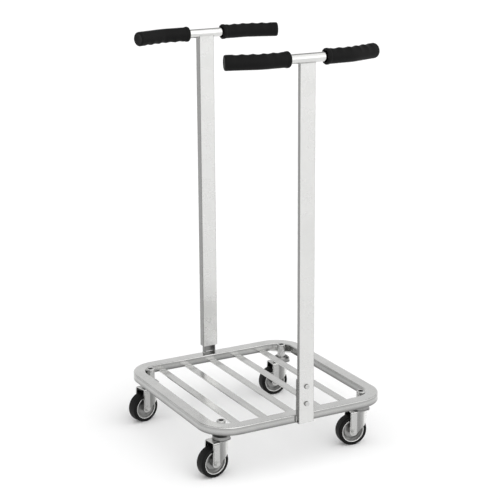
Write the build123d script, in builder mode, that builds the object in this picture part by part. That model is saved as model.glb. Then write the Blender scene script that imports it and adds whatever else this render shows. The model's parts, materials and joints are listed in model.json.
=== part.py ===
from build123d import *
import math
import os

# ---------------------------------------------------------------- dimensions
# All lengths in millimetres.  +Z is up, the floor is Z = 0, the front upright
# stands at -Y and the rear upright at +Y, both handlebars run along X.

# base rail: rectangular tube, laid flat, bent into a rounded square
BASE_W = 476.0            # outside width along X
BASE_D = 494.0            # outside depth along Y
BASE_R = 75.0             # outside corner radius
RAIL_W = 30.0             # tube width, seen from above
RAIL_H = 20.0             # tube height
RAIL_T = 1.5              # tube wall
RAIL_EDGE = 2.5           # tube's own corner radius
RAIL_Z = 110.0            # underside of the rail above the floor

# deck
SLAT_N = 5
SLAT_W = 20.0
SLAT_T = 3.5
SLAT_Z = 110.5            # underside of the slats and gussets
SLAT_PITCH = 72.7

# corners
STEM_X = 189.4            # caster axes from the centre of the base
STEM_Y = 194.0
SLEEVE_R = 10.5
SLEEVE_BORE_R = 6.05
SLEEVE_Z0 = 100.0
SLEEVE_Z1 = 132.0
GUSSET_T = 3.5
GUSSET_GAP = 15.0         # the two webs of a gusset stay this far apart behind the sleeve

# uprights and their feet
UP_W = 40.0               # width of both uprights along X
FRONT_UP_D = 10.0         # depth of the flat front tube along Y
REAR_UP_D = 20.0          # depth of the rear tube along Y
UP_T = 1.5                # wall of both uprights
FRONT_UP_Y = -253.0       # tube centre planes, from the centre of the base
REAR_UP_Y = 241.6
FRONT_UP_Z0 = 144.0
REAR_UP_Z0 = 149.5
SHOE_Z0 = 110.5
FOOT_Z1 = 217.0
PLATE_T = 4.0
STUB_W = 30.0
STUB_D = 16.0
STUB_T = 2.5
BOLT_Z = (158.0, 200.0)   # upright bolt heights
BOLT_R = 3.0              # M6
BOLT_HOLE_R = 3.3
BOLT_AF = 10.0
WASHER_R = 6.0
WASHER_T = 1.2
HEAD_T = 4.0
NUT_T = 5.0

# handlebars and grips
BAR_Z = 959.0             # handlebar axis above the floor
BAR_R = 11.0
BAR_T = 1.5
BAR_KINK_X = 115.0        # where each arm turns inwards
BAR_KINK_DEG = 18.4
BAR_ARM = 74.0            # tube length beyond the kink
BAR_BEND_R = 60.0
GRIP_X0 = 45.5            # inner end of each grip
GRIP_R = 17.5
GRIP_LIP_R = 18.7
GRIP_LIP_L = 5.0
GRIP_CAP = 4.0            # closed end beyond the tube
GRIP_BORE_R = 11.05

# casters
TRAIL = 25.0              # wheel axle behind the swivel axis
WHEEL_R = 37.0
TYRE_HW = 13.5            # half the tyre's width
CUP_R = 21.0
CUP_Z0 = 89.0
CUP_Z1 = 100.0
RACE_Z = 93.2             # underside of the upper race
BALL_R = 2.5
BALL_RING_R = 13.5
BALL_N = 12
CROWN_Z0 = 85.5
CROWN_Z1 = 88.0
CROWN_R = 22.0
STEM_R = 6.0
STEM_Z1 = 115.0
STEM_HEAD_R = 11.0
STEM_HEAD_Z0 = 81.5
LEG_Y = 18.0              # outer face of each fork leg from the fork's middle
LEG_T = 2.5
RIB_T = 1.6               # height of the raised strip on each leg
RIB_W = 15.0
NOSE_OPEN = 10.5          # half the gap between the legs' front flanges
FORK_NOSE = 15.0          # how far the fork's rounded front reaches
AXLE_R = 3.0
BUSH_R = 5.0
HUB_BORE_R = 5.05
HUB_HALF = 15.2

# centre of the base, measured from the middle of the whole trolley's outline
BX = 6.90
BY = 5.7

# corner name, side along X, side along Y, angle of the trailing wheel
CORNERS = (
    ("front_left", -1, -1, 7.0),
    ("front_right", 1, -1, -7.5),
    ("rear_left", -1, 1, 12.0),
    ("rear_right", 1, 1, -2.5),
)

os.makedirs("parts", exist_ok=True)


def save(builder, name):
    """Label a finished piece and write it."""
    builder.part.label = name
    export_step(builder.part, f"parts/{name}.step")


# ---------------------------------------------------------------- base rail
mid_w = BASE_W - RAIL_W
mid_d = BASE_D - RAIL_W
mid_r = BASE_R - RAIL_W / 2
rail_mid_z = RAIL_Z + RAIL_H / 2

with BuildPart() as base_rail:
    with BuildLine(Plane.XY.offset(rail_mid_z)) as rail_path:
        hx, hy = mid_w / 2, mid_d / 2
        qx, qy = hx - mid_r, hy - mid_r
        Line((BX, BY - hy), (BX + qx, BY - hy))
        CenterArc((BX + qx, BY - qy), mid_r, -90, 90)
        Line((BX + hx, BY - qy), (BX + hx, BY + qy))
        CenterArc((BX + qx, BY + qy), mid_r, 0, 90)
        Line((BX + qx, BY + hy), (BX - qx, BY + hy))
        CenterArc((BX - qx, BY + qy), mid_r, 90, 90)
        Line((BX - hx, BY + qy), (BX - hx, BY - qy))
        CenterArc((BX - qx, BY - qy), mid_r, 180, 90)
        Line((BX - qx, BY - hy), (BX, BY - hy))
    with BuildSketch(Plane(origin=(BX, BY - hy, rail_mid_z), x_dir=(0, 1, 0), z_dir=(1, 0, 0))):
        RectangleRounded(RAIL_W, RAIL_H, RAIL_EDGE)
        RectangleRounded(RAIL_W - 2 * RAIL_T, RAIL_H - 2 * RAIL_T, RAIL_EDGE - RAIL_T, mode=Mode.SUBTRACT)
    sweep(path=rail_path.wires()[0])
save(base_rail, "base_rail")

# ---------------------------------------------------------------- deck slats
slat_len = BASE_D - 2 * RAIL_W
for i in range(SLAT_N):
    sx = BX + (i - (SLAT_N - 1) / 2) * SLAT_PITCH
    with BuildPart() as slat:
        with BuildSketch(Plane(origin=(sx, BY, SLAT_Z))):
            Rectangle(SLAT_W, slat_len)
        extrude(amount=SLAT_T)
        chamfer(slat.edges().filter_by(Axis.Y), 0.5)
        save(slat, f"deck_slat_{i + 1}")

# ---------------------------------------------------------------- corners
inner_x = BASE_W / 2 - RAIL_W
inner_y = BASE_D / 2 - RAIL_W
inner_r = BASE_R - RAIL_W
for name, cx, cy, turn in CORNERS:
    px, py = BX + cx * STEM_X, BY + cy * STEM_Y
    # gusset: a corner plate in two webs, one each side of the sleeve, with its
    # straight free edge on the line through the sleeve's centre
    with BuildPart() as gusset:
        with BuildSketch(Plane(origin=(BX, BY, SLAT_Z))):
            RectangleRounded(2 * inner_x, 2 * inner_y, inner_r + 0.3)
            reach = 400 / math.sqrt(2)
            with Locations((cx * (STEM_X + reach), cy * (STEM_Y + reach))):
                Rectangle(800, 800, rotation=45, mode=Mode.INTERSECT)
            with Locations((cx * STEM_X, cy * STEM_Y)):
                Circle(SLEEVE_R + 0.05, mode=Mode.SUBTRACT)
            with Locations((cx * (STEM_X + 20), cy * (STEM_Y + 20))):
                Rectangle(60, GUSSET_GAP, rotation=45 * cx * cy, mode=Mode.SUBTRACT)
        extrude(amount=GUSSET_T)
    save(gusset, f"corner_gusset_{name}")

with BuildPart() as stem_sleeves:
    for name, cx, cy, turn in CORNERS:
        px, py = BX + cx * STEM_X, BY + cy * STEM_Y
        with BuildSketch(Plane(origin=(px, py, SLEEVE_Z0))):
            Circle(SLEEVE_R)
            Circle(SLEEVE_BORE_R, mode=Mode.SUBTRACT)
        extrude(amount=SLEEVE_Z1 - SLEEVE_Z0)
    chamfer(stem_sleeves.faces().group_by(Axis.Z)[-1].edges().filter_by(
        lambda e: e.radius > SLEEVE_R - 0.5), 0.8)
save(stem_sleeves, "stem_sleeves")

# ---------------------------------------------------------------- front foot and upright
fy = BY + FRONT_UP_Y
front_out = fy - FRONT_UP_D / 2
front_in = fy + FRONT_UP_D / 2
rail_front = BY - BASE_D / 2
with BuildPart() as front_foot_bracket:
    # shoe on the rail's outer face
    with BuildSketch(Plane.XY.offset(SHOE_Z0)):
        with Locations((BX, (front_out + rail_front) / 2)):
            Rectangle(UP_W, rail_front - front_out)
    extrude(amount=FRONT_UP_Z0 - SHOE_Z0 - 0.2)
    # backing plate standing on the rail
    with BuildSketch(Plane.XY.offset(RAIL_Z + RAIL_H)):
        with Locations((BX, front_in + PLATE_T / 2)):
            Rectangle(UP_W, PLATE_T)
    extrude(amount=FOOT_Z1 - RAIL_Z - RAIL_H)
    fillet(front_foot_bracket.faces().group_by(Axis.Z)[-1].edges().filter_by(Axis.Y), 1.5)
    fillet(front_foot_bracket.faces().sort_by(Axis.Y)[0].edges().filter_by(Axis.Z), 1.2)
    with Locations(*[Plane(origin=(BX, front_in + PLATE_T / 2, z), z_dir=(0, 1, 0)) for z in BOLT_Z]):
        Hole(BOLT_HOLE_R, depth=20)
save(front_foot_bracket, "front_foot_bracket")

with BuildPart() as front_upright:
    with BuildSketch(Plane(origin=(BX, fy, FRONT_UP_Z0))):
        RectangleRounded(UP_W, FRONT_UP_D, 1.8)
        RectangleRounded(UP_W - 2 * UP_T, FRONT_UP_D - 2 * UP_T, 0.6, mode=Mode.SUBTRACT)
    extrude(amount=BAR_Z - FRONT_UP_Z0)
    # saddle cut for the handlebar
    with BuildSketch(Plane(origin=(BX, fy, BAR_Z), z_dir=(1, 0, 0))):
        Circle(BAR_R + 0.02)
    extrude(amount=60, both=True, mode=Mode.SUBTRACT)
    with Locations(*[Plane(origin=(BX, fy, z), z_dir=(0, 1, 0)) for z in BOLT_Z]):
        Hole(BOLT_HOLE_R, depth=20)
save(front_upright, "front_upright")

# ---------------------------------------------------------------- rear stub and upright
ry = BY + REAR_UP_Y
rear_in = ry - REAR_UP_D / 2
rear_out = ry + REAR_UP_D / 2
web_out = ry + STUB_D / 2
with BuildPart() as rear_socket_stub:
    with BuildSketch(Plane(origin=(BX, ry, RAIL_Z + RAIL_H))):
        RectangleRounded(STUB_W, STUB_D, 2.0)
        with Locations((0, -STUB_T - 5)):
            Rectangle(STUB_W - 2 * STUB_T, STUB_D + 10, mode=Mode.SUBTRACT)
    extrude(amount=FOOT_Z1 - RAIL_Z - RAIL_H)
    with Locations(*[Plane(origin=(BX, web_out - STUB_T / 2, z), z_dir=(0, 1, 0)) for z in BOLT_Z]):
        Hole(BOLT_HOLE_R, depth=8)
save(rear_socket_stub, "rear_socket_stub")

with BuildPart() as rear_upright:
    with BuildSketch(Plane(origin=(BX, ry, REAR_UP_Z0))):
        RectangleRounded(UP_W, REAR_UP_D, 2.0)
        RectangleRounded(UP_W - 2 * UP_T, REAR_UP_D - 2 * UP_T, 0.8, mode=Mode.SUBTRACT)
    extrude(amount=BAR_Z - REAR_UP_Z0)
    with BuildSketch(Plane(origin=(BX, ry, BAR_Z), z_dir=(1, 0, 0))):
        Circle(BAR_R + 0.02)
    extrude(amount=60, both=True, mode=Mode.SUBTRACT)
    with Locations(*[Plane(origin=(BX, rear_out, z), z_dir=(0, 1, 0)) for z in BOLT_Z]):
        Hole(BOLT_HOLE_R, depth=6)
save(rear_upright, "rear_upright")

# ---------------------------------------------------------------- upright fasteners
# hex-head screws with washers, heads on the outer faces
for name, face_y, out, grip_len in (
    ("front", front_out, -1, FRONT_UP_D + PLATE_T),
    ("rear", rear_out, 1, rear_out - web_out + STUB_T),
):
    with BuildPart() as bolts:
        for z in BOLT_Z:
            head = Plane(origin=(BX, face_y, z), x_dir=(1, 0, 0), z_dir=(0, out, 0))
            with BuildSketch(head.offset(WASHER_T)):
                RegularPolygon(BOLT_AF / 2, 6, major_radius=False)
            extrude(amount=HEAD_T)
            with BuildSketch(head.offset(WASHER_T)):
                Circle(BOLT_R)
            extrude(amount=-(WASHER_T + grip_len + NUT_T + 1.5))
        chamfer(bolts.faces().sort_by(Axis.Y)[0 if out < 0 else -1].edges(), 0.6)
    save(bolts, f"{name}_upright_bolts")
    with BuildPart() as washers:
        for z in BOLT_Z:
            with BuildSketch(Plane(origin=(BX, face_y, z), x_dir=(1, 0, 0), z_dir=(0, out, 0))):
                Circle(WASHER_R)
                Circle(BOLT_R + 0.2, mode=Mode.SUBTRACT)
            extrude(amount=WASHER_T)
    save(washers, f"{name}_upright_washers")
    with BuildPart() as nuts:
        for z in BOLT_Z:
            with BuildSketch(Plane(origin=(BX, face_y - out * grip_len, z), x_dir=(1, 0, 0), z_dir=(0, -out, 0))):
                RegularPolygon(BOLT_AF / 2, 6, major_radius=False)
                Circle(BOLT_R + 0.02, mode=Mode.SUBTRACT)
            extrude(amount=NUT_T)
    save(nuts, f"{name}_upright_nuts")

# ---------------------------------------------------------------- handlebars and grips
kink = math.radians(BAR_KINK_DEG)
for name, bar_y, inward in (("front", fy, 1), ("rear", ry, -1)):
    end_x = BAR_KINK_X + BAR_ARM * math.cos(kink)
    end_y = BAR_ARM * math.sin(kink) * inward
    with BuildPart() as handlebar:
        with BuildLine(Plane(origin=(BX, bar_y, BAR_Z))) as bar_path:
            FilletPolyline(
                (-end_x, end_y), (-BAR_KINK_X, 0), (BAR_KINK_X, 0), (end_x, end_y),
                radius=BAR_BEND_R,
            )
        with BuildSketch(Plane(
            origin=(BX - end_x, bar_y + end_y, BAR_Z),
            z_dir=(math.cos(kink), -math.sin(kink) * inward, 0),
        )):
            Circle(BAR_R)
            Circle(BAR_R - BAR_T, mode=Mode.SUBTRACT)
        sweep(path=bar_path.wires()[0])
    save(handlebar, f"{name}_handlebar")

    for side, sgn in (("left", -1), ("right", 1)):
        start = Plane(origin=(BX + sgn * GRIP_X0, bar_y, BAR_Z), z_dir=(sgn, 0, 0))
        tip = Plane(
            origin=(BX + sgn * end_x, bar_y + end_y, BAR_Z),
            z_dir=(sgn * math.cos(kink), math.sin(kink) * inward, 0),
        )
        with BuildPart() as grip:
            with BuildLine(Plane(origin=(BX, bar_y, BAR_Z))) as grip_path:
                FilletPolyline(
                    (sgn * GRIP_X0, 0), (sgn * BAR_KINK_X, 0), (sgn * end_x, end_y),
                    radius=BAR_BEND_R,
                )
            with BuildSketch(start):
                Circle(GRIP_R)
                Circle(GRIP_BORE_R, mode=Mode.SUBTRACT)
            sweep(path=grip_path.wires()[0])
            # raised lip at the inner end
            with BuildSketch(start):
                Circle(GRIP_LIP_R)
                Circle(GRIP_BORE_R, mode=Mode.SUBTRACT)
            extrude(amount=GRIP_LIP_L)
            # closed outer end
            with BuildSketch(tip):
                Circle(GRIP_R)
            extrude(amount=GRIP_CAP)
            fillet(grip.faces().sort_by(lambda f: abs(f.center().X - BX))[-1].edges(), 2.5)
        save(grip, f"{name}_grip_{side}")

# ---------------------------------------------------------------- caster stems and race cups
with BuildPart() as caster_stems:
    for name, cx, cy, turn in CORNERS:
        px, py = BX + cx * STEM_X, BY + cy * STEM_Y
        with BuildSketch(Plane(origin=(px, py, STEM_HEAD_Z0))):
            Circle(STEM_HEAD_R)
        extrude(amount=CROWN_Z0 - 0.1 - STEM_HEAD_Z0)
        with BuildSketch(Plane(origin=(px, py, STEM_HEAD_Z0))):
            Circle(STEM_R)
        extrude(amount=STEM_Z1 - STEM_HEAD_Z0)
    chamfer(caster_stems.faces().group_by(Axis.Z)[-1].edges(), 1.0)
    chamfer(caster_stems.faces().group_by(Axis.Z)[0].edges(), 1.0)
save(caster_stems, "caster_stems")

for name, cx, cy, turn in CORNERS:
    px, py = BX + cx * STEM_X, BY + cy * STEM_Y
    with BuildPart() as race_cup:
        with BuildSketch(Plane(origin=(px, py, 0), x_dir=(1, 0, 0), z_dir=(0, -1, 0))):
            with BuildLine():
                Polyline(
                    (STEM_R + 0.05, RACE_Z), (STEM_R + 0.05, CUP_Z1), (CUP_R - 5, CUP_Z1),
                    (CUP_R, CUP_Z1 - 4), (CUP_R, CUP_Z0), (CUP_R - 2, CUP_Z0),
                    (CUP_R - 2, RACE_Z), (STEM_R + 0.05, RACE_Z),
                )
            make_face()
        revolve(axis=Axis((px, py, 0), (0, 0, 1)))
    save(race_cup, f"race_cup_{name}")

    # local frame of the turning part: x points away from the trailing wheel
    t = math.radians(turn)
    loc = Plane(origin=(px, py, 0), x_dir=(math.cos(t), math.sin(t), 0), z_dir=(0, 0, 1))
    side_pl = Plane(origin=(px, py, 0), x_dir=(math.cos(t), math.sin(t), 0),
                    z_dir=(math.sin(t), -math.cos(t), 0))
    ax = px - TRAIL * math.cos(t)
    ay = py - TRAIL * math.sin(t)
    axle_dir = (math.sin(t), -math.cos(t), 0)
    axle_pl = Plane(origin=(ax, ay, WHEEL_R), x_dir=(math.cos(t), math.sin(t), 0), z_dir=axle_dir)

    with BuildPart() as balls:
        with Locations(loc.offset(CROWN_Z1 + 0.1 + BALL_R)):
            with PolarLocations(BALL_RING_R, BALL_N):
                Sphere(BALL_R)
    save(balls, f"race_balls_{name}")

    with BuildPart() as fork:
        # pressed shell: two legs joined by a rounded nose, open behind the wheel
        with BuildSketch(loc.offset(20)):
            with BuildLine():
                Line((-40, -LEG_Y), (FORK_NOSE - LEG_Y, -LEG_Y))
                CenterArc((FORK_NOSE - LEG_Y, 0), LEG_Y, -90, 180)
                Line((FORK_NOSE - LEG_Y, LEG_Y), (-40, LEG_Y))
                Line((-40, LEG_Y), (-40, -LEG_Y))
            make_face()
        extrude(amount=CROWN_Z1 - 20)
        top_edges = fork.faces().sort_by(Axis.Z)[-1].edges()
        fillet([e for e in top_edges if not (abs(e.center().Z - CROWN_Z1) < 1e-3 and e.geom_type == GeomType.LINE
                and abs((e @ 0 - e @ 1).dot(Vector(*axle_dir))) > 1)], 4.0)
        with BuildSketch(loc.offset(19)):
            with BuildLine():
                Line((-41, -LEG_Y + LEG_T), (FORK_NOSE - LEG_Y, -LEG_Y + LEG_T))
                CenterArc((FORK_NOSE - LEG_Y, 0), LEG_Y - LEG_T, -90, 180)
                Line((FORK_NOSE - LEG_Y, LEG_Y - LEG_T), (-41, LEG_Y - LEG_T))
                Line((-41, LEG_Y - LEG_T), (-41, -LEG_Y + LEG_T))
            make_face()
        extrude(amount=CROWN_Z0 - 19, mode=Mode.SUBTRACT)
        # side outline of the legs
        with BuildSketch(side_pl):
            with BuildLine():
                Polyline(
                    (-32.5, 87), (-34.5, 62), (-35.5, 37), (-25, 37), (-17, 30), (-7, 41), (3.6, 49.5),
                    (7.0, 58), (12.0, 67), (16, 72), (30, 79), (30, 87), (-32.5, 87),
                )
            make_face()
            with Locations((-TRAIL, WHEEL_R)):
                Circle(10.8)
            with Locations((-2, 90)):
                Rectangle(61, 14)
        extrude(amount=40, both=True, mode=Mode.INTERSECT)
        # the front is open between the legs' turned-in flanges, up to the crown
        with BuildSketch(Plane(origin=loc.origin + loc.x_dir * 2, x_dir=loc.z_dir.cross(loc.x_dir), z_dir=loc.x_dir)):
            with Locations((0, 51)):
                SlotCenterToCenter(40, 2 * NOSE_OPEN, rotation=90)
            with Locations((0, 25)):
                Rectangle(2 * NOSE_OPEN, 52)
        extrude(amount=40, mode=Mode.SUBTRACT)
        # crown disc carrying the lower race
        with BuildSketch(loc.offset(CROWN_Z0)):
            Circle(CROWN_R)
        extrude(amount=CROWN_Z1 - CROWN_Z0)
        with BuildSketch(loc.offset(CROWN_Z0 - 1)):
            Circle(STEM_R + 0.05)
        extrude(amount=6, mode=Mode.SUBTRACT)
        # axle holes
        with BuildSketch(axle_pl):
            Circle(AXLE_R + 0.05)
        extrude(amount=25, both=True, mode=Mode.SUBTRACT)
        # raised rib up the outside of each leg
        for s in (1, -1):
            with BuildSketch(Plane(origin=axle_pl.origin + Vector(*axle_dir) * (s * LEG_Y),
                                   x_dir=axle_pl.x_dir, z_dir=Vector(*axle_dir) * s)):
                Circle(RIB_W / 2)
                with Locations((0, s * 23.1)):
                    Rectangle(RIB_W, 46.2)
                with Locations((0, 0)):
                    Circle(AXLE_R + 0.05, mode=Mode.SUBTRACT)
            extrude(amount=RIB_T)
    save(fork, f"fork_{name}")

    with BuildPart() as bush:
        with BuildSketch(axle_pl.offset(-(LEG_Y - LEG_T))):
            Circle(BUSH_R)
            Circle(AXLE_R + 0.05, mode=Mode.SUBTRACT)
        extrude(amount=2 * (LEG_Y - LEG_T))
    save(bush, f"axle_bush_{name}")

    with BuildPart() as axle:
        out = LEG_Y + RIB_T
        # washers under the head and under the nut
        for s in (1, -1):
            with BuildSketch(Plane(origin=axle_pl.origin + Vector(*axle_dir) * (s * out),
                                   x_dir=axle_pl.x_dir, z_dir=Vector(*axle_dir) * s)):
                Circle(WASHER_R)
                Circle(AXLE_R + 0.02, mode=Mode.SUBTRACT)
            extrude(amount=WASHER_T)
        # bolt with its head on one leg, lock nut on the other
        seat = out + WASHER_T + 0.02
        with BuildSketch(axle_pl.offset(seat)):
            Circle(AXLE_R)
        extrude(amount=-(2 * seat + 6.5))
        with BuildSketch(axle_pl.offset(seat)):
            RegularPolygon(BOLT_AF / 2, 6, major_radius=False)
        extrude(amount=HEAD_T)
        with BuildSketch(axle_pl.offset(-seat - NUT_T)):
            RegularPolygon(BOLT_AF / 2, 6, major_radius=False)
            Circle(AXLE_R + 0.02, mode=Mode.SUBTRACT)
        extrude(amount=NUT_T)
    save(axle, f"axle_hardware_{name}")

    with BuildPart() as rim:
        with BuildSketch(Plane(origin=(ax, ay, WHEEL_R), x_dir=axle_dir, z_dir=(math.cos(t), math.sin(t), 0))):
            with BuildLine():
                Polyline(
                    (-HUB_HALF, HUB_BORE_R), (HUB_HALF, HUB_BORE_R), (HUB_HALF, 8.5), (4.5, 10.0),
                    (4.0, 18.8), (9.0, 24.0), (11.5, 24.5), (11.5, 27.3), (9.6, 27.3), (9.6, 25.8),
                    (-9.6, 25.8), (-9.6, 27.3), (-11.5, 27.3), (-11.5, 24.5), (-9.0, 24.0),
                    (-4.0, 18.8), (-4.5, 10.0), (-HUB_HALF, 8.5), (-HUB_HALF, HUB_BORE_R),
                )
            make_face()
        revolve(axis=Axis((ax, ay, WHEEL_R), axle_dir))
    save(rim, f"wheel_rim_{name}")

    with BuildPart() as tyre:
        with BuildSketch(Plane(origin=(ax, ay, WHEEL_R), x_dir=axle_dir, z_dir=(math.cos(t), math.sin(t), 0))):
            with BuildLine():
                Polyline(
                    (-9.5, 25.85), (9.5, 25.85), (9.5, 27.4), (12.6, 27.4), (TYRE_HW, 29.0),
                    (TYRE_HW, 33.3), (TYRE_HW - 1.2, 35.5), (TYRE_HW - 4, 36.7), (0, WHEEL_R),
                    (-TYRE_HW + 4, 36.7), (-TYRE_HW + 1.2, 35.5), (-TYRE_HW, 33.3), (-TYRE_HW, 29.0),
                    (-12.6, 27.4), (-9.5, 27.4), (-9.5, 25.85),
                )
            make_face()
        revolve(axis=Axis((ax, ay, WHEEL_R), axle_dir))
    save(tyre, f"tyre_{name}")
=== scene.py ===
import json
import math

import bmesh
import bpy
from mathutils import Matrix, Vector


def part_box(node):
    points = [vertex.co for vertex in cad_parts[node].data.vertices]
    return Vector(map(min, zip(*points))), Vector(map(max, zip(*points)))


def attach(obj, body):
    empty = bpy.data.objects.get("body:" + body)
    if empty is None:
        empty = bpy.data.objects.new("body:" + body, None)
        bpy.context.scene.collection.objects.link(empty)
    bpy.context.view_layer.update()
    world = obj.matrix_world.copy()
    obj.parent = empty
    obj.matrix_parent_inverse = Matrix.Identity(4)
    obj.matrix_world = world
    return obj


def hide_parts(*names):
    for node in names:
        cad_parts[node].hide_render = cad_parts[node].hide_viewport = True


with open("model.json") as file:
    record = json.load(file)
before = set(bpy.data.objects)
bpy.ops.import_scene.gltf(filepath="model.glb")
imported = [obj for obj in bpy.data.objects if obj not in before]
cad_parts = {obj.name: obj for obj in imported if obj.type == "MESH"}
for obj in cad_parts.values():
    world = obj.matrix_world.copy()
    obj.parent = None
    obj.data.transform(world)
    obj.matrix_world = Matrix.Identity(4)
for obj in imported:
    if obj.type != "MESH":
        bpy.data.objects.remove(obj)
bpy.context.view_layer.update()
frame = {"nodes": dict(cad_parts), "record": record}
record = frame["record"]
nodes = frame["nodes"]
joints = {j["name"]: j for j in record["behaviour"]["joints"]}

# ------------------------------------------------------------ reference points, from the frame
rail_lo, rail_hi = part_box("base_rail")
BX = (rail_lo[0] + rail_hi[0]) / 2
BY = (rail_lo[1] + rail_hi[1]) / 2
RAIL_TOP = rail_hi[2]
RAIL_BOTTOM = rail_lo[2]
RAIL_W = 0.030
fu_lo, fu_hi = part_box("front_upright")
ru_lo, ru_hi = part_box("rear_upright")
fh_lo, fh_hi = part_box("front_handlebar")
rh_lo, rh_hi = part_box("rear_handlebar")
BAR_Z = (fh_lo[2] + fh_hi[2]) / 2
FRONT_Y = (fu_lo[1] + fu_hi[1]) / 2
REAR_Y = (ru_lo[1] + ru_hi[1]) / 2
CORNERS = ("front_left", "front_right", "rear_left", "rear_right")


# ------------------------------------------------------------ small node-tree helpers
def new_mat(name):
    m = bpy.data.materials.new(name)
    m.use_nodes = True
    nt = m.node_tree
    nt.nodes.clear()
    out = nt.nodes.new("ShaderNodeOutputMaterial")
    b = nt.nodes.new("ShaderNodeBsdfPrincipled")
    nt.links.new(b.outputs[0], out.inputs[0])
    return m, nt, b


def tex_noise(nt, coord, scale, detail=4.0, rough=0.55, stretch=None):
    src = coord
    if stretch is not None:
        mp = nt.nodes.new("ShaderNodeMapping")
        mp.inputs["Scale"].default_value = stretch
        nt.links.new(coord, mp.inputs[0])
        src = mp.outputs[0]
    n = nt.nodes.new("ShaderNodeTexNoise")
    n.inputs["Scale"].default_value = scale
    n.inputs["Detail"].default_value = detail
    n.inputs["Roughness"].default_value = rough
    nt.links.new(src, n.inputs["Vector"])
    return n.outputs["Fac"]


def ramp(nt, fac, stops):
    r = nt.nodes.new("ShaderNodeValToRGB")
    els = r.color_ramp.elements
    els[0].position, els[0].color = stops[0][0], (*stops[0][1], 1)
    els[1].position, els[1].color = stops[-1][0], (*stops[-1][1], 1)
    for pos, col in stops[1:-1]:
        e = els.new(pos)
        e.color = (*col, 1)
    nt.links.new(fac, r.inputs[0])
    return r.outputs[0]


def remap(nt, fac, lo, hi):
    m = nt.nodes.new("ShaderNodeMapRange")
    m.inputs["From Min"].default_value = 0.25
    m.inputs["From Max"].default_value = 0.75
    m.inputs["To Min"].default_value = lo
    m.inputs["To Max"].default_value = hi
    nt.links.new(fac, m.inputs["Value"])
    return m.outputs[0]


def bump(nt, bsdf, height, strength, distance):
    b = nt.nodes.new("ShaderNodeBump")
    b.inputs["Strength"].default_value = strength
    b.inputs["Distance"].default_value = distance
    nt.links.new(height, b.inputs["Height"])
    nt.links.new(b.outputs[0], bsdf.inputs["Normal"])
    return b


def grey(v, tint=(1.0, 1.0, 1.0)):
    return tuple(v * t for t in tint)


def metal(name, value, rough, spread=0.06, grain=(1, 1, 1), grain_scale=220.0, tint=(1.0, 1.0, 0.985), grain_bump=0.10):
    """Plated steel: cloudy plating, fine drawn grain and uneven polish."""
    m, nt, b = new_mat(name)
    tc = nt.nodes.new("ShaderNodeTexCoord").outputs["Object"]
    cloud = tex_noise(nt, tc, 9.0, 5.0, 0.6)
    fine = tex_noise(nt, tc, grain_scale, 3.0, 0.6, grain)
    mix = nt.nodes.new("ShaderNodeMath")
    mix.operation = "MULTIPLY_ADD"
    mix.inputs[1].default_value = 0.35
    nt.links.new(fine, mix.inputs[0])
    sc = nt.nodes.new("ShaderNodeMath")
    sc.operation = "MULTIPLY"
    sc.inputs[1].default_value = 0.65
    nt.links.new(cloud, sc.inputs[0])
    nt.links.new(sc.outputs[0], mix.inputs[2])
    col = ramp(nt, mix.outputs[0], [
        (0.30, grey(value * (1 - spread), tint)),
        (0.50, grey(value, tint)),
        (0.70, grey(min(1.0, value * (1 + spread * 0.7)), tint)),
    ])
    nt.links.new(col, b.inputs["Base Color"])
    b.inputs["Metallic"].default_value = 1.0
    blotch = tex_noise(nt, tc, 22.0, 6.0, 0.65)
    nt.links.new(remap(nt, blotch, rough * 0.82, rough * 1.22), b.inputs["Roughness"])
    bump(nt, b, fine, grain_bump, 0.0004)
    return m


def painted_height_shading(mat, stops):
    """Tone by height over the plating: painted shade along the lower lip and a painted dark line at the top edge roll,
    with a lighter band between.
    """
    nt = mat.node_tree
    b = next(n for n in nt.nodes if n.type == "BSDF_PRINCIPLED")
    src = b.inputs["Base Color"].links[0].from_socket
    tc = nt.nodes.new("ShaderNodeTexCoord").outputs["Object"]
    sep = nt.nodes.new("ShaderNodeSeparateXYZ")
    nt.links.new(tc, sep.inputs[0])
    wob = tex_noise(nt, tc, 14.0, 3.0, 0.6)
    wm = nt.nodes.new("ShaderNodeMath")
    wm.operation = "MULTIPLY_ADD"
    wm.inputs[1].default_value = 0.0022
    nt.links.new(wob, wm.inputs[0])
    nt.links.new(sep.outputs["Z"], wm.inputs[2])
    mr = nt.nodes.new("ShaderNodeMapRange")
    lo, hi = stops[0][0], stops[-1][0]
    mr.inputs["From Min"].default_value = lo
    mr.inputs["From Max"].default_value = hi
    nt.links.new(wm.outputs[0], mr.inputs["Value"])
    tone = ramp(nt, mr.outputs[0], [((z - lo) / (hi - lo), (v, v, v)) for z, v in stops])
    mx = nt.nodes.new("ShaderNodeMix")
    mx.data_type = "RGBA"
    mx.blend_type = "MULTIPLY"
    mx.inputs["Factor"].default_value = 1.0
    nt.links.new(src, mx.inputs[6])
    nt.links.new(tone, mx.inputs[7])
    nt.links.new(mx.outputs[2], b.inputs["Base Color"])
    return mat


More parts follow.
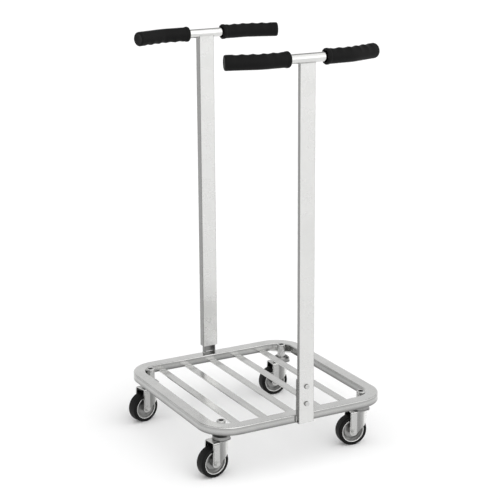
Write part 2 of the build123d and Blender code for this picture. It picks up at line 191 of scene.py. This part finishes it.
def painted_flank_shade(mat, value):
    """Painted shade: faces turned towards ±X are darkened, so the narrow side faces of a tube read darker than the
    broad faces.
    """
    nt = mat.node_tree
    b = next(n for n in nt.nodes if n.type == "BSDF_PRINCIPLED")
    src = b.inputs["Base Color"].links[0].from_socket
    sep = nt.nodes.new("ShaderNodeSeparateXYZ")
    nt.links.new(nt.nodes.new("ShaderNodeTexCoord").outputs["Normal"], sep.inputs[0])
    ab = nt.nodes.new("ShaderNodeMath")
    ab.operation = "ABSOLUTE"
    nt.links.new(sep.outputs["X"], ab.inputs[0])
    tone = ramp(nt, ab.outputs[0], [(0.15, (1.0, 1.0, 1.0)), (0.45, (value * 0.8, value * 0.8, value * 0.8)), (0.85, (value, value, value))])
    mx = nt.nodes.new("ShaderNodeMix")
    mx.data_type = "RGBA"
    mx.blend_type = "MULTIPLY"
    mx.inputs["Factor"].default_value = 1.0
    nt.links.new(src, mx.inputs[6])
    nt.links.new(tone, mx.inputs[7])
    nt.links.new(mx.outputs[2], b.inputs["Base Color"])
    return mat


def black_rubber(name, value, rough, dust=0.25, scale=900.0, strength=0.25):
    """Moulded rubber: fine pimpled skin with a little dust in it."""
    m, nt, b = new_mat(name)
    tc = nt.nodes.new("ShaderNodeTexCoord").outputs["Object"]
    cloud = tex_noise(nt, tc, 30.0, 6.0, 0.6)
    fine = tex_noise(nt, tc, scale, 2.0, 0.5)
    col = ramp(nt, cloud, [
        (0.32, grey(value * 0.8)),
        (0.55, grey(value)),
        (0.75, grey(value * (1 + dust * 3), (1.0, 0.98, 0.95))),
    ])
    nt.links.new(col, b.inputs["Base Color"])
    nt.links.new(remap(nt, fine, rough - 0.08, rough + 0.1), b.inputs["Roughness"])
    b.inputs["Specular IOR Level"].default_value = 0.12
    bump(nt, b, fine, strength, 0.0005)
    return m


# tube: painted shade darkens the side faces turned towards ±X
M_TUBE = painted_flank_shade(metal("plated_tube_satin", 0.66, 0.27, 0.035, (1, 1, 0.04), 160.0, grain_bump=0.008), 0.40)
# rail: painted shade darkens the lower lip and the top edge roll, lighter band between
M_RAIL = painted_height_shading(metal("plated_rail_satin", 0.60, 0.22, 0.10, (1, 1, 1), 160.0, grain_bump=0.05), [
    (RAIL_BOTTOM, 0.22), (RAIL_BOTTOM + 0.0035, 0.34), (RAIL_BOTTOM + 0.0080, 0.66), (RAIL_BOTTOM + 0.0125, 0.80),
    (RAIL_BOTTOM + 0.0165, 0.62), (RAIL_BOTTOM + 0.0190, 0.52), (RAIL_BOTTOM + 0.0205, 1.0), (RAIL_BOTTOM + 0.030, 1.0)])
M_BAR = metal("plated_bar_bright", 0.58, 0.22, 0.10, (1, 0.05, 1), 260.0, grain_bump=0.05)
M_HANDLE = metal("handlebar_polished", 0.66, 0.16, 0.06, (0.08, 1, 1), 300.0, grain_bump=0.05)
M_ZINC = metal("zinc_pressed", 0.52, 0.26, 0.12, (1, 1, 1), 240.0, grain_bump=0.06)
# washers painted near-black: painted shade ring round each bolt head
M_WASHER = metal("washer_zinc_painted_shade", 0.14, 0.42, 0.20, (1, 1, 1), 600.0, grain_bump=0.05)
# race cups a darker zinc than the other zinc parts
M_CUP = metal("race_zinc_darker", 0.26, 0.30, 0.25, (1, 1, 1), 240.0, grain_bump=0.06)
# stems painted near-black: painted shade down the open sleeve bore
M_STEM = metal("stem_painted_bore_shade", 0.045, 0.45, 0.25, (1, 1, 1), 240.0, grain_bump=0.06)
# rim zinc painted darker: painted shade and dark reflection in the wheel dish
M_RIM = metal("wheel_rim_zinc", 0.27, 0.34, 0.25, (1, 1, 1), 240.0, grain_bump=0.06)
M_LIP = metal("wheel_lip_bright", 0.70, 0.24, 0.10, (1, 1, 1), 240.0, grain_bump=0.05)
M_BOLT = metal("fastener_zinc", 0.52, 0.28, 0.15, (1, 1, 1), 600.0, grain_bump=0.05)
# stub plating painted dark: painted shade of its shadowed channel interior
M_STUB = metal("stub_plated_dark", 0.22, 0.38, 0.12, (1, 1, 1), 300.0, grain_bump=0.05)
M_WELD = metal("weld_plated", 0.50, 0.36, 0.14, (1, 1, 1), 700.0)
M_GRIP = black_rubber("grip_rubber_black", 0.0032, 0.62, 0.15, 1100.0, 0.30)
M_CAP = black_rubber("grip_end_black", 0.008, 0.55, 0.15, 1400.0, 0.2)
M_TYRE = black_rubber("tyre_rubber_black", 0.0035, 0.46, 0.60, 420.0, 0.55)


def paint(node, mat):
    o = nodes[node]
    if not o.material_slots:
        o.data.materials.append(mat)
    for s in o.material_slots:
        s.material = mat


def fork_painted_shading(c):
    """Pressed zinc with painted shade and a painted highlight that follow the bends from the flat leg round to the nose
    flange.
    """
    m = metal("fork_zinc_" + c, 0.84, 0.25, 0.08, (1, 1, 1), 240.0, grain_bump=0.05)
    nt = m.node_tree
    b = next(n for n in nt.nodes if n.type == "BSDF_PRINCIPLED")
    src = b.inputs["Base Color"].links[0].from_socket
    a = Vector(joints["spin_" + c]["pos_m"])
    w = Vector(joints["swivel_" + c]["pos_m"])
    d = Vector((w.x - a.x, w.y - a.y, 0)).normalized()
    tc = nt.nodes.new("ShaderNodeTexCoord").outputs["Object"]
    dot = nt.nodes.new("ShaderNodeVectorMath")
    dot.operation = "DOT_PRODUCT"
    nt.links.new(tc, dot.inputs[0])
    dot.inputs[1].default_value = d
    lo, hi = -0.012, 0.042
    mr = nt.nodes.new("ShaderNodeMapRange")
    mr.inputs["From Min"].default_value = a.dot(d) + lo
    mr.inputs["From Max"].default_value = a.dot(d) + hi
    nt.links.new(dot.outputs["Value"], mr.inputs["Value"])
    # painted shade at the step, painted highlight on the bend ridge, painted shade on the nose side
    stops = [(lo, 0.60), (0.0070, 0.60), (0.0085, 0.34), (0.0140, 0.30), (0.0230, 0.46), (0.0290, 0.95), (0.0350, 1.0), (0.0385, 0.55), (hi, 0.42)]
    tone = ramp(nt, mr.outputs[0], [((x - lo) / (hi - lo), (v, v, v)) for x, v in stops])
    mx = nt.nodes.new("ShaderNodeMix")
    mx.data_type = "RGBA"
    mx.blend_type = "MULTIPLY"
    mx.inputs["Factor"].default_value = 1.0
    nt.links.new(src, mx.inputs[6])
    nt.links.new(tone, mx.inputs[7])
    nt.links.new(mx.outputs[2], b.inputs["Base Color"])
    return m


for n in nodes:
    if n.startswith("tyre"):
        paint(n, M_TYRE)
    elif "grip" in n:
        paint(n, M_GRIP)
    elif n == "base_rail":
        paint(n, M_RAIL)
    elif n.startswith(("deck_slat", "corner_gusset")):
        paint(n, M_BAR)
    elif n.endswith("_washers"):
        paint(n, M_WASHER)
    elif n == "caster_stems":
        paint(n, M_STEM)
    elif n.startswith(("front_upright_", "rear_upright_", "axle", "race_balls")):
        paint(n, M_BOLT)
    elif n.startswith("wheel_rim"):
        paint(n, M_RIM)
    elif n.startswith("fork"):
        paint(n, fork_painted_shading(n[5:]))
    elif n.startswith("race_cup"):
        paint(n, M_CUP)
    elif n == "stem_sleeves":
        paint(n, M_ZINC)
    elif n == "rear_socket_stub":
        paint(n, M_STUB)
    elif n.endswith("handlebar"):
        paint(n, M_HANDLE)
    else:
        paint(n, M_TUBE)


# ------------------------------------------------------------ mesh helpers
def mesh_piece(name, verts, faces, mat, body, smooth=True, replace=()):
    me = bpy.data.meshes.new(name)
    me.from_pydata([tuple(v) for v in verts], [], faces)
    me.validate()
    bm = bmesh.new()
    bm.from_mesh(me)
    bmesh.ops.recalc_face_normals(bm, faces=bm.faces)
    bm.to_mesh(me)
    bm.free()
    me.update()
    for p in me.polygons:
        p.use_smooth = smooth
    o = bpy.data.objects.new(name, me)
    bpy.context.scene.collection.objects.link(o)
    me.materials.append(mat)
    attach(o, body)
    for r in replace:
        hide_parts(r)
    return o


def bead(verts, faces, pts, r, pitch=0.0024, seg=8, flat=0.8):
    """A rippled weld bead along a line of points, added to verts and faces."""
    fine = []
    for a, b in zip(pts, pts[1:]):
        a, b = Vector(a), Vector(b)
        n = max(1, int((b - a).length / 0.0006))
        fine += [a.lerp(b, i / n) for i in range(n)]
    fine.append(Vector(pts[-1]))
    dist = 0.0
    base = len(verts)
    total = sum((b - a).length for a, b in zip(fine, fine[1:]))
    for i, p in enumerate(fine):
        if i:
            dist += (p - fine[i - 1]).length
        d = (fine[min(i + 1, len(fine) - 1)] - fine[max(i - 1, 0)]).normalized()
        up = Vector((0, 0, 1)) if abs(d.z) < 0.9 else Vector((0, 1, 0))
        s = d.cross(up).normalized()
        u = s.cross(d)
        ripple = 1 + 0.13 * math.sin(2 * math.pi * dist / pitch) + 0.06 * math.sin(dist * 1900 + len(pts))
        end = min(1.0, (min(dist, total - dist) + 0.0003) / 0.0022) ** 0.5
        rr = r * ripple * end
        for k in range(seg):
            t = 2 * math.pi * k / seg
            verts.append(p + s * math.cos(t) * rr + u * math.sin(t) * rr * flat)
    n = len(fine)
    for i in range(n - 1):
        for k in range(seg):
            k2 = (k + 1) % seg
            faces.append((base + i * seg + k, base + i * seg + k2, base + (i + 1) * seg + k2, base + (i + 1) * seg + k))
    faces.append(tuple(base + k for k in range(seg - 1, -1, -1)))
    faces.append(tuple(base + (n - 1) * seg + k for k in range(seg)))


def arc(cx, cy, z, r, a0, a1, n=18):
    return [(cx + r * math.cos(math.radians(a0 + (a1 - a0) * i / n)),
             cy + r * math.sin(math.radians(a0 + (a1 - a0) * i / n)), z) for i in range(n + 1)]


# ------------------------------------------------------------ weld seams
v, f = [], []
in_f = rail_lo[1] + RAIL_W
in_r = rail_hi[1] - RAIL_W
for i in range(1, 6):
    lo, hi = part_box(f"deck_slat_{i}")
    for y, s in ((in_f, 1), (in_r, -1)):
        bead(v, f, [(lo[0] + 0.001, y + s * 0.0006, hi[2] + 0.0002), (hi[0] - 0.001, y + s * 0.0006, hi[2] + 0.0002)], 0.0013)
mesh_piece("welds_slats", v, f, M_WELD, "frame")

v, f = [], []
sl_lo, sl_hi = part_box("stem_sleeves")
for c in CORNERS:
    p = joints["swivel_" + c]["pos_m"]
    g_lo, g_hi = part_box("corner_gusset_" + c)
    cx = 1 if p[0] > BX else -1
    cy = 1 if p[1] > BY else -1
    mid = math.degrees(math.atan2(cy, cx))
    bead(v, f, arc(p[0], p[1], RAIL_TOP - 0.0003, 0.0106, mid - 62, mid + 62), 0.0013)
    bead(v, f, arc(p[0], p[1], g_hi[2] + 0.0002, 0.0108, mid + 95, mid + 135, 10), 0.0011)
    bead(v, f, arc(p[0], p[1], g_hi[2] + 0.0002, 0.0108, mid - 135, mid - 95, 10), 0.0011)
mesh_piece("welds_corners", v, f, M_WELD, "frame")

v, f = [], []
fb_lo, fb_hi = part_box("front_foot_bracket")
st_lo, st_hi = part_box("rear_socket_stub")
for x, s in ((fb_lo[0], -1), (fb_hi[0], 1)):
    bead(v, f, [(x + s * 0.0003, rail_lo[1] - 0.0003, RAIL_BOTTOM + 0.003), (x + s * 0.0003, rail_lo[1] - 0.0003, RAIL_TOP - 0.003)], 0.0012)
    bead(v, f, [(x + s * 0.0002, fu_hi[1] + 0.002, RAIL_TOP + 0.0004), (x + s * 0.0002, fb_hi[1] - 0.001, RAIL_TOP + 0.0004)], 0.0011)
bead(v, f, [(fb_lo[0] + 0.002, fb_hi[1] + 0.0004, RAIL_TOP + 0.0004), (fb_hi[0] - 0.002, fb_hi[1] + 0.0004, RAIL_TOP + 0.0004)], 0.0014)
for x, s in ((st_lo[0], -1), (st_hi[0], 1)):
    bead(v, f, [(x + s * 0.0004, st_lo[1] + 0.001, RAIL_TOP + 0.0004), (x + s * 0.0004, st_hi[1] - 0.002, RAIL_TOP + 0.0004)], 0.0014)
bead(v, f, [(st_lo[0] + 0.002, st_hi[1] + 0.0004, RAIL_TOP + 0.0004), (st_hi[0] - 0.002, st_hi[1] + 0.0004, RAIL_TOP + 0.0004)], 0.0014)
mesh_piece("welds_feet", v, f, M_WELD, "frame")

v, f = [], []
for lo, hi, y in ((fu_lo, fu_hi, FRONT_Y), (ru_lo, ru_hi, REAR_Y)):
    half = (hi[1] - lo[1]) / 2
    drop = math.sqrt(max(0.0, 0.011 ** 2 - half ** 2))
    for s in (-1, 1):
        bead(v, f, [(lo[0] + 0.001, y + s * (half + 0.0001), BAR_Z - drop - 0.0006), (hi[0] - 0.001, y + s * (half + 0.0001), BAR_Z - drop - 0.0006)], 0.0012)
    for x, s in ((lo[0], -1), (hi[0], 1)):
        pts = []
        n = 16
        span = math.asin(min(0.98, half / 0.011))
        for i in range(n + 1):
            t = -span + 2 * span * i / n
            pts.append((x + s * 0.0002, y + 0.0112 * math.sin(t), BAR_Z - 0.0112 * math.cos(t)))
        bead(v, f, pts, 0.0012)
mesh_piece("welds_handlebars", v, f, M_WELD, "frame")


# ------------------------------------------------------------ rolled wheel lips
def ring(verts, faces, centre, axis, radius, minor, seg=72, tube=10, squash=1.0):
    axis = Vector(axis).normalized()
    u = axis.orthogonal().normalized()
    w = axis.cross(u)
    base = len(verts)
    for i in range(seg):
        t = 2 * math.pi * i / seg
        radial = u * math.cos(t) + w * math.sin(t)
        for k in range(tube):
            a = 2 * math.pi * k / tube
            verts.append(Vector(centre) + radial * (radius + minor * math.cos(a)) + axis * (minor * squash * math.sin(a)))
    for i in range(seg):
        i2 = (i + 1) % seg
        for k in range(tube):
            k2 = (k + 1) % tube
            faces.append((base + i * tube + k, base + i2 * tube + k, base + i2 * tube + k2, base + i * tube + k2))


for c in CORNERS:
    j = joints["spin_" + c]
    p, ax = Vector(j["pos_m"]), Vector(j["axis"]).normalized()
    v, f = [], []
    for s in (-1, 1):
        ring(v, f, p + ax * s * 0.0121, ax, 0.0274, 0.0010)
    mesh_piece("wheel_lips_" + c, v, f, M_LIP, "wheel_" + c)


# ------------------------------------------------------------ grips
KINK_X, KINK, BEND_R = 0.115, math.radians(18.4), 0.060


def grip_path(bar_y, sgn, inward, s_end):
    """Points and directions along the bar, from the grip's inner end outwards."""
    t_len = BEND_R * math.tan(KINK / 2)
    straight = KINK_X - t_len
    pts = []

    def at(d):
        # d is distance along the bar from its middle
        if d <= straight:
            return Vector((d, 0, 0)), 0.0
        a = (d - straight) / BEND_R
        if a <= KINK:
            return Vector((straight + BEND_R * math.sin(a), BEND_R * (1 - math.cos(a)), 0)), a
        e = d - straight - BEND_R * KINK
        base = Vector((straight + BEND_R * math.sin(KINK), BEND_R * (1 - math.cos(KINK)), 0))
        return base + Vector((math.cos(KINK), math.sin(KINK), 0)) * e, KINK

    def place(d):
        p, a = at(d)
        pos = Vector((BX + sgn * p.x, bar_y + inward * p.y, BAR_Z))
        dr = Vector((sgn * math.cos(a), inward * math.sin(a), 0))
        return pos, dr

    return place


def build_grip(name, node, bar_y, sgn, inward, groove_up, waves=5):
    place = grip_path(bar_y, sgn, inward, 0)
    d0 = 0.0455
    length = 0.1435 + 0.0055
    seg, rings = 64, 260
    R = 0.0173
    verts, faces = [], []
    g0, g1 = 0.013, 0.134
    for i in range(rings + 1):
        s = length * i / rings
        pos, dr = place(d0 + s)
        side = Vector((-dr.y, dr.x, 0))
        # overall profile: lip, body, rounded closed end
        r = R
        if s < 0.0065:
            r = 0.0186 - 0.0002 * (s / 0.0065)
        elif s < 0.011:
            k = (s - 0.0065) / 0.0045
            r = 0.0184 + (R - 0.0184) * (k * k * (3 - 2 * k))
        if s < 0.0035:
            r -= 0.0026 * (1 - s / 0.0035) ** 2
        e = length - s
        if e < 0.004:
            k = 1 - e / 0.004
            r -= 0.0036 * (1 - math.sqrt(max(0.0, 1 - k * k)))
        for k in range(seg):
            t = 2 * math.pi * k / seg
            c, sn = math.cos(t), math.sin(t)   # sn is up
            w = sn if groove_up else -sn
            rr = r
            if g0 < s < g1:
                ph = (s - g0) / (g1 - g0) * waves
                wave = abs(math.sin(math.pi * ph)) ** 1.3
                edge = min(1.0, (s - g0) / 0.008, (g1 - s) / 0.008)
                weight = max(0.0, w * 0.75 + 0.25) ** 1.2
                rr = r + (0.0004 - 0.0017 * wave) * weight * edge
                # shallow ribs round the belly
                rr -= 0.00022 * (0.5 + 0.5 * math.cos(2 * math.pi * s / 0.0042)) * max(0.0, -w) * edge
            verts.append(pos + side * c * rr + Vector((0, 0, 1)) * sn * rr)
    for i in range(rings):
        for k in range(seg):
            k2 = (k + 1) % seg
            faces.append((i * seg + k, i * seg + k2, (i + 1) * seg + k2, (i + 1) * seg + k))
    # cupped inner end, down to the tube
    pos, dr = place(d0)
    side = Vector((-dr.y, dr.x, 0))
    prev = 0
    for depth, rad in ((0.0006, 0.0146), (0.0020, 0.0138), (0.0050, 0.0125), (0.0065, 0.01105), (0.0300, 0.01105)):
        p2, d2 = place(d0 + depth)
        base = len(verts)
        for k in range(seg):
            t = 2 * math.pi * k / seg
            verts.append(p2 + side * math.cos(t) * rad + Vector((0, 0, 1)) * math.sin(t) * rad)
        for k in range(seg):
            k2 = (k + 1) % seg
            faces.append((prev + k, prev + k2, base + k2, base + k))
        prev = base
    faces.append(tuple(prev + k for k in range(seg)))
    # closed outer end with a shallow moulded ring and dimple
    prev = rings * seg
    p_end, d_end = place(d0 + length)
    side = Vector((-d_end.y, d_end.x, 0))
    first_cap_face = len(faces)
    for out, rad in ((0.0, 0.0118), (-0.0006, 0.0112), (-0.0006, 0.0060), (-0.0012, 0.0050), (-0.0012, 0.0015)):
        base = len(verts)
        for k in range(seg):
            t = 2 * math.pi * k / seg
            verts.append(p_end + d_end * out + side * math.cos(t) * rad + Vector((0, 0, 1)) * math.sin(t) * rad)
        for k in range(seg):
            k2 = (k + 1) % seg
            faces.append((prev + k, prev + k2, base + k2, base + k))
        prev = base
    faces.append(tuple(prev + k for k in range(seg)))
    o = mesh_piece(name, verts, faces, M_GRIP, "frame", replace=(node,))
    o.data.materials.append(M_CAP)
    for p in o.data.polygons[first_cap_face:]:
        p.material_index = 1
    return o


fb = (fh_lo[1] + 0.011, rh_hi[1] - 0.011)
build_grip("grip_front_left", "front_grip_left", fb[0], -1, 1, True)
build_grip("grip_front_right", "front_grip_right", fb[0], 1, 1, True)
build_grip("grip_rear_left", "rear_grip_left", fb[1], -1, -1, False)
build_grip("grip_rear_right", "rear_grip_right", fb[1], 1, -1, True)

# ------------------------------------------------------------ floor, light and camera
fm, fnt, fbsdf = new_mat("studio_floor")
ftc = fnt.nodes.new("ShaderNodeTexCoord").outputs["Object"]
fn = tex_noise(fnt, ftc, 1.3, 3.0, 0.5)
fnt.links.new(ramp(fnt, fn, [(0.3, (0.955, 0.955, 0.955)), (0.7, (0.975, 0.975, 0.975))]), fbsdf.inputs["Base Color"])
fbsdf.inputs["Roughness"].default_value = 0.9
fbsdf.inputs["Specular IOR Level"].default_value = 0.1
bm = bmesh.new()
bmesh.ops.create_grid(bm, x_segments=2, y_segments=2, size=30)
fme = bpy.data.meshes.new("floor")
bm.to_mesh(fme)
bm.free()
floor = bpy.data.objects.new("floor", fme)
floor.data.materials.append(fm)
bpy.context.scene.collection.objects.link(floor)

world = bpy.data.worlds.new("studio")
bpy.context.scene.world = world
world.use_nodes = True
wnt = world.node_tree
wtc = wnt.nodes.new("ShaderNodeTexCoord").outputs["Generated"]
wsep = wnt.nodes.new("ShaderNodeSeparateXYZ")
wnt.links.new(wtc, wsep.inputs[0])
wr = wnt.nodes.new("ShaderNodeValToRGB")
wr.color_ramp.elements[0].position = 0.0
wr.color_ramp.elements[0].color = (1.04, 1.04, 1.04, 1)
wr.color_ramp.elements[1].position = 0.62
wr.color_ramp.elements[1].color = (0.34, 0.34, 0.34, 1)
e = wr.color_ramp.elements.new(0.30)
e.color = (1.04, 1.04, 1.04, 1)
wnt.links.new(wsep.outputs["Z"], wr.inputs[0])
wnt.links.new(wr.outputs[0], wnt.nodes["Background"].inputs[0])
wnt.nodes["Background"].inputs[1].default_value = 1.0


def sun(name, direction, power, angle):
    """Broad soft light from a direction, like a large overhead softbox."""
    l = bpy.data.lights.new(name, "SUN")
    l.energy = power
    l.angle = math.radians(angle)
    o = bpy.data.objects.new(name, l)
    o.rotation_euler = (-Vector(direction)).to_track_quat("-Z", "Y").to_euler()
    o.location = Vector(direction) * 4
    bpy.context.scene.collection.objects.link(o)
    return o


sun("key", Vector((0.50, -0.72, 0.62)), 1.75, 110)
sun("fill", Vector((-0.55, -0.55, 0.75)), 1.35, 120)

cam_data = bpy.data.cameras.new("camera")
cam_data.sensor_width = 36
cam_data.lens = 106.26
cam_data.shift_y = -0.05
cam = bpy.data.objects.new("camera", cam_data)
bpy.context.scene.collection.objects.link(cam)
bpy.context.scene.camera = cam
cam_pos = Vector((BX - 1.6271, BY - 3.0086, 1.4233))
az, el = math.radians(-28.306), math.radians(14.708)
fwd = Vector((-math.sin(az) * math.cos(el), math.cos(az) * math.cos(el), -math.sin(el)))
q = fwd.to_track_quat("-Z", "Y")
cam.rotation_mode = "QUATERNION"
roll = math.radians(-0.318)
cam.rotation_quaternion = q @ Matrix.Rotation(roll, 3, "Z").to_quaternion()
cam.location = cam_pos
cam_data.clip_start = 0.05
cam_data.clip_end = 100

bpy.context.scene.view_settings.view_transform = "Standard"
